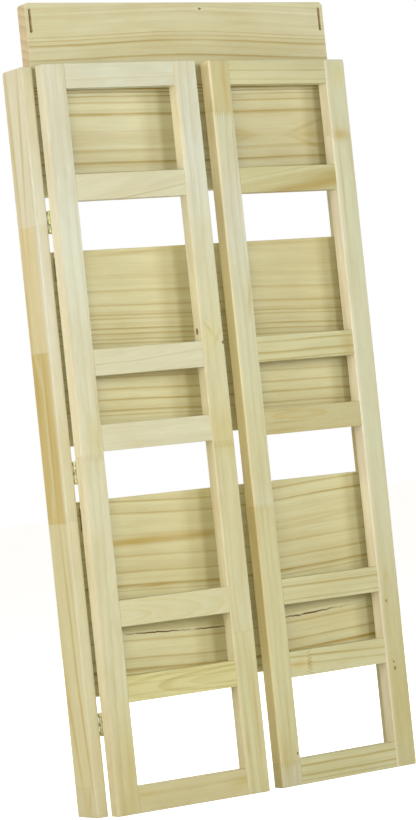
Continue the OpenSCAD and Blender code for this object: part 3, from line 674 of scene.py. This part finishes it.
def ease_edges(thing, width):
    """Welds a node's loose triangles, makes its flat faces whole and rounds its edges a little."""
    weld = thing.modifiers.new("weld", "WELD")
    weld.merge_threshold = WELD_REACH
    flat = thing.modifiers.new("whole faces", "DECIMATE")
    flat.decimate_type, flat.angle_limit = "DISSOLVE", math.radians(FLAT_ANGLE)
    bevel = thing.modifiers.new("eased edges", "BEVEL")
    bevel.width, bevel.segments = width, 2
    bevel.limit_method, bevel.angle_limit = "ANGLE", math.radians(SHARP_ANGLE)
    bevel.use_clamp_overlap = False


def dress(name, material):
    thing = NODES[name]
    thing.data.materials.clear()
    thing.data.materials.append(material)


for name, look in BOARDS.items():
    dress(name, pine(name.replace("_", " "), **look))
    ease_edges(NODES[name], EASED_EDGE)

# The dowels are beech, which is redder and has finer rings. Their places count from half the height up.
HALF_HEIGHT = 480
BEECH = dict(lie=ALONG_X, early=colour(214, 186, 146), late=colour(168, 128, 88), ring=3, strength=0.25)
for side in SIDES:
    beech = pine(side + " dowels", place=side, middle=(HALF_HEIGHT, FRAME_MIDDLE), seed=101, **BEECH)
    dress(side + "_frame_dowels", beech)
beech = pine("back dowels", place="back", middle=(HALF_HEIGHT, BACK_MIDDLE), seed=103, **BEECH)
dress("back_rail_dowels", beech)


# Metal fittings: how many dull patches and tarnished specks lie in a metre, and how much they show
TARNISH, TARNISH_SHARE = colour(96, 80, 52), 0.4
PATCHES, SPECKS = 140, 900
WORN_RANGE, SPECK_RANGE = (-0.12, 0.26), (0.16, 0.3)
BRUSH_WEAR, WORN_ROUGH, BRUSH_ROUGH = 0.4, 0.16, 0.12
BRUSH_HEIGHT, PATCH_HEIGHT = 0.5, 0.4
METAL_BUMP = {"Strength": 0.25, "Distance": 0.0001}


def metal(name, bright, dull, rough, stretch):
    """Thin plate on steel, rubbed along one direction and dulled in patches."""
    material, n = new_material(name)
    place = n.add("ShaderNodeTexCoord").outputs["Object"]
    rubbed = n.add("ShaderNodeMapping", {"Vector": place, "Scale": stretch}).outputs[0]
    brush = n.noise(rubbed, detail=3, rough=0.6)
    patch = n.noise(place, scale=PATCHES, detail=4, rough=0.65)
    speck = n.ease(n.noise(place, scale=SPECKS, detail=2), *SPECK_RANGE)
    worn = n.ease(n.weigh(patch, (brush, BRUSH_WEAR)), *WORN_RANGE)
    tint = n.blend(worn, bright, dull)
    tint = n.blend(n.math("MULTIPLY", speck, TARNISH_SHARE), tint, TARNISH)
    roughness = n.weigh(rough, (worn, WORN_ROUGH), (brush, BRUSH_ROUGH))
    height = n.weigh(0.0, (brush, BRUSH_HEIGHT), (patch, PATCH_HEIGHT))
    bump = n.add("ShaderNodeBump", {**METAL_BUMP, "Height": height})
    surface = {"Base Color": tint, "Metallic": 1.0, "Roughness": roughness,
               "Normal": bump.outputs["Normal"]}
    shader = n.add("ShaderNodeBsdfPrincipled", surface)
    n.add("ShaderNodeOutputMaterial", {"Surface": shader.outputs["BSDF"]})
    return material


BRASS = metal("brass plate", colour(158, 156, 112), colour(106, 102, 66), 0.44, (900, 900, 60))
SCREW_BRASS = metal("brass screws", colour(160, 154, 108), colour(112, 104, 66), 0.44, (700, 700, 700))
ZINC = metal("zinc plate", colour(214, 215, 214), colour(168, 170, 170), 0.34, (60, 800, 800))
PIN_STEEL = metal("pin steel", colour(204, 205, 206), colour(158, 160, 162), 0.3, (60, 900, 900))
for side in SIDES:
    for level in LEVELS:
        for leaf in (f"{side}_{level}_post_leaf", f"{side}_{level}_frame_leaf"):
            dress(leaf, BRASS)
            ease_edges(NODES[leaf], METAL_EDGE)
        bracket = f"{side}_{level}_bracket"
        dress(bracket, ZINC)
        ease_edges(NODES[bracket], METAL_EDGE)
    dress(side + "_hinge_pins", BRASS)
    dress(side + "_post_screws", SCREW_BRASS)
    dress(side + "_frame_screws", SCREW_BRASS)
    dress(side + "_bracket_screws", ZINC)
for level in LEVELS:
    pins = level + "_pivot_pins"
    dress(pins, PIN_STEEL)
    ease_edges(NODES[pins], METAL_EDGE)


# Studio: a pale floor, soft lamps and a white surround. The floor lies just below the feet.
FLOOR_SIZE, FLOOR_DROP = 40, 0.0002
FLOOR_MATT, FLOOR_MOTTLE, FLOOR_GLOW, MOTTLES = 0.6, 0.02, 0.94, 6
WHITE = (1, 1, 1, 1)
AIM = Vector((0, 0, 0.5))


def light_path_share(n):
    """1 where the eye, a reflection or a clear surface looks straight at it."""
    path = n.add("ShaderNodeLightPath").outputs
    seen = n.math("MAXIMUM", path["Is Camera Ray"], path["Is Glossy Ray"])
    return n.math("MAXIMUM", seen, path["Is Transmission Ray"])


def make_floor():
    bpy.ops.mesh.primitive_plane_add(size=FLOOR_SIZE, location=(0, 0, -FLOOR_DROP))
    floor = bpy.context.object
    floor.name = "floor"
    material, n = new_material("pale floor")
    place = n.add("ShaderNodeTexCoord").outputs["Object"]
    mottle = n.noise(place, scale=MOTTLES, detail=4)
    mottle = n.math("MULTIPLY_ADD", mottle, FLOOR_MOTTLE, FLOOR_MATT)
    matt = n.add("ShaderNodeBsdfDiffuse", {"Color": n.vector(mottle, mottle, mottle)}).outputs[0]
    glow = n.add("ShaderNodeEmission", {"Color": WHITE, "Strength": FLOOR_GLOW}).outputs[0]
    bright = n.add("ShaderNodeAddShader", {0: matt, 1: glow}).outputs[0]
    seen = n.add("ShaderNodeMixShader", {0: light_path_share(n), 1: matt, 2: bright}).outputs[0]
    n.add("ShaderNodeOutputMaterial", {"Surface": seen})
    floor.data.materials.append(material)


def make_world(ambient, tint):
    world = bpy.data.worlds.new("white surround")
    bpy.context.scene.world = world
    world.use_nodes = True
    world.node_tree.nodes.clear()
    n = Nodes(world.node_tree)
    dim = n.add("ShaderNodeBackground", {"Color": tint, "Strength": ambient}).outputs[0]
    white = n.add("ShaderNodeBackground", {"Color": WHITE, "Strength": 1.0}).outputs[0]
    mixed = n.add("ShaderNodeMixShader", {0: light_path_share(n), 1: dim, 2: white}).outputs[0]
    n.add("ShaderNodeOutputWorld", {"Surface": mixed})


def lamp(name, azimuth, height, distance, size, power, tint):
    """A soft square lamp turned to the bookcase. Azimuth 0 is straight in front, and 90 to the right."""
    data = bpy.data.lights.new(name, "AREA")
    data.shape, data.size, data.energy, data.color = "SQUARE", size, power, tint
    thing = bpy.data.objects.new(name, data)
    bpy.context.scene.collection.objects.link(thing)
    turn = math.radians(azimuth)
    place = Vector((distance * math.sin(turn), -distance * math.cos(turn), height))
    turned = (place - AIM).to_track_quat("Z", "Y").to_matrix().to_4x4()
    thing.matrix_world = Matrix.Translation(place) @ turned


make_floor()
make_world(ambient=0.11, tint=(1, 0.7, 0.3, 1))
WARM, SOFT, PLAIN, COOL = (1, 0.92, 0.72), (1, 0.99, 0.95), (1, 1.01, 1.03), (0.97, 1.02, 1.12)
lamp("left lamp", -38, 0.9, 2.6, 1.4, 26, WARM)
lamp("side lamp", -82, 1.0, 2.6, 1.5, 35, PLAIN)
lamp("front lamp", 4, 0.9, 2.7, 0.6, 16.2, COOL)
lamp("right lamp", 33, 0.9, 2.7, 0.9, 18.4, COOL)
lamp("far side lamp", 105, 1.0, 2.6, 2.0, 36, SOFT)
lamp("back lamp", 168, 1.1, 3.0, 1.8, 50, SOFT)
lamp("top lamp", 180, 3.3, 0.7, 1.4, 30, SOFT)

bpy.context.scene.view_settings.view_transform = "Standard"
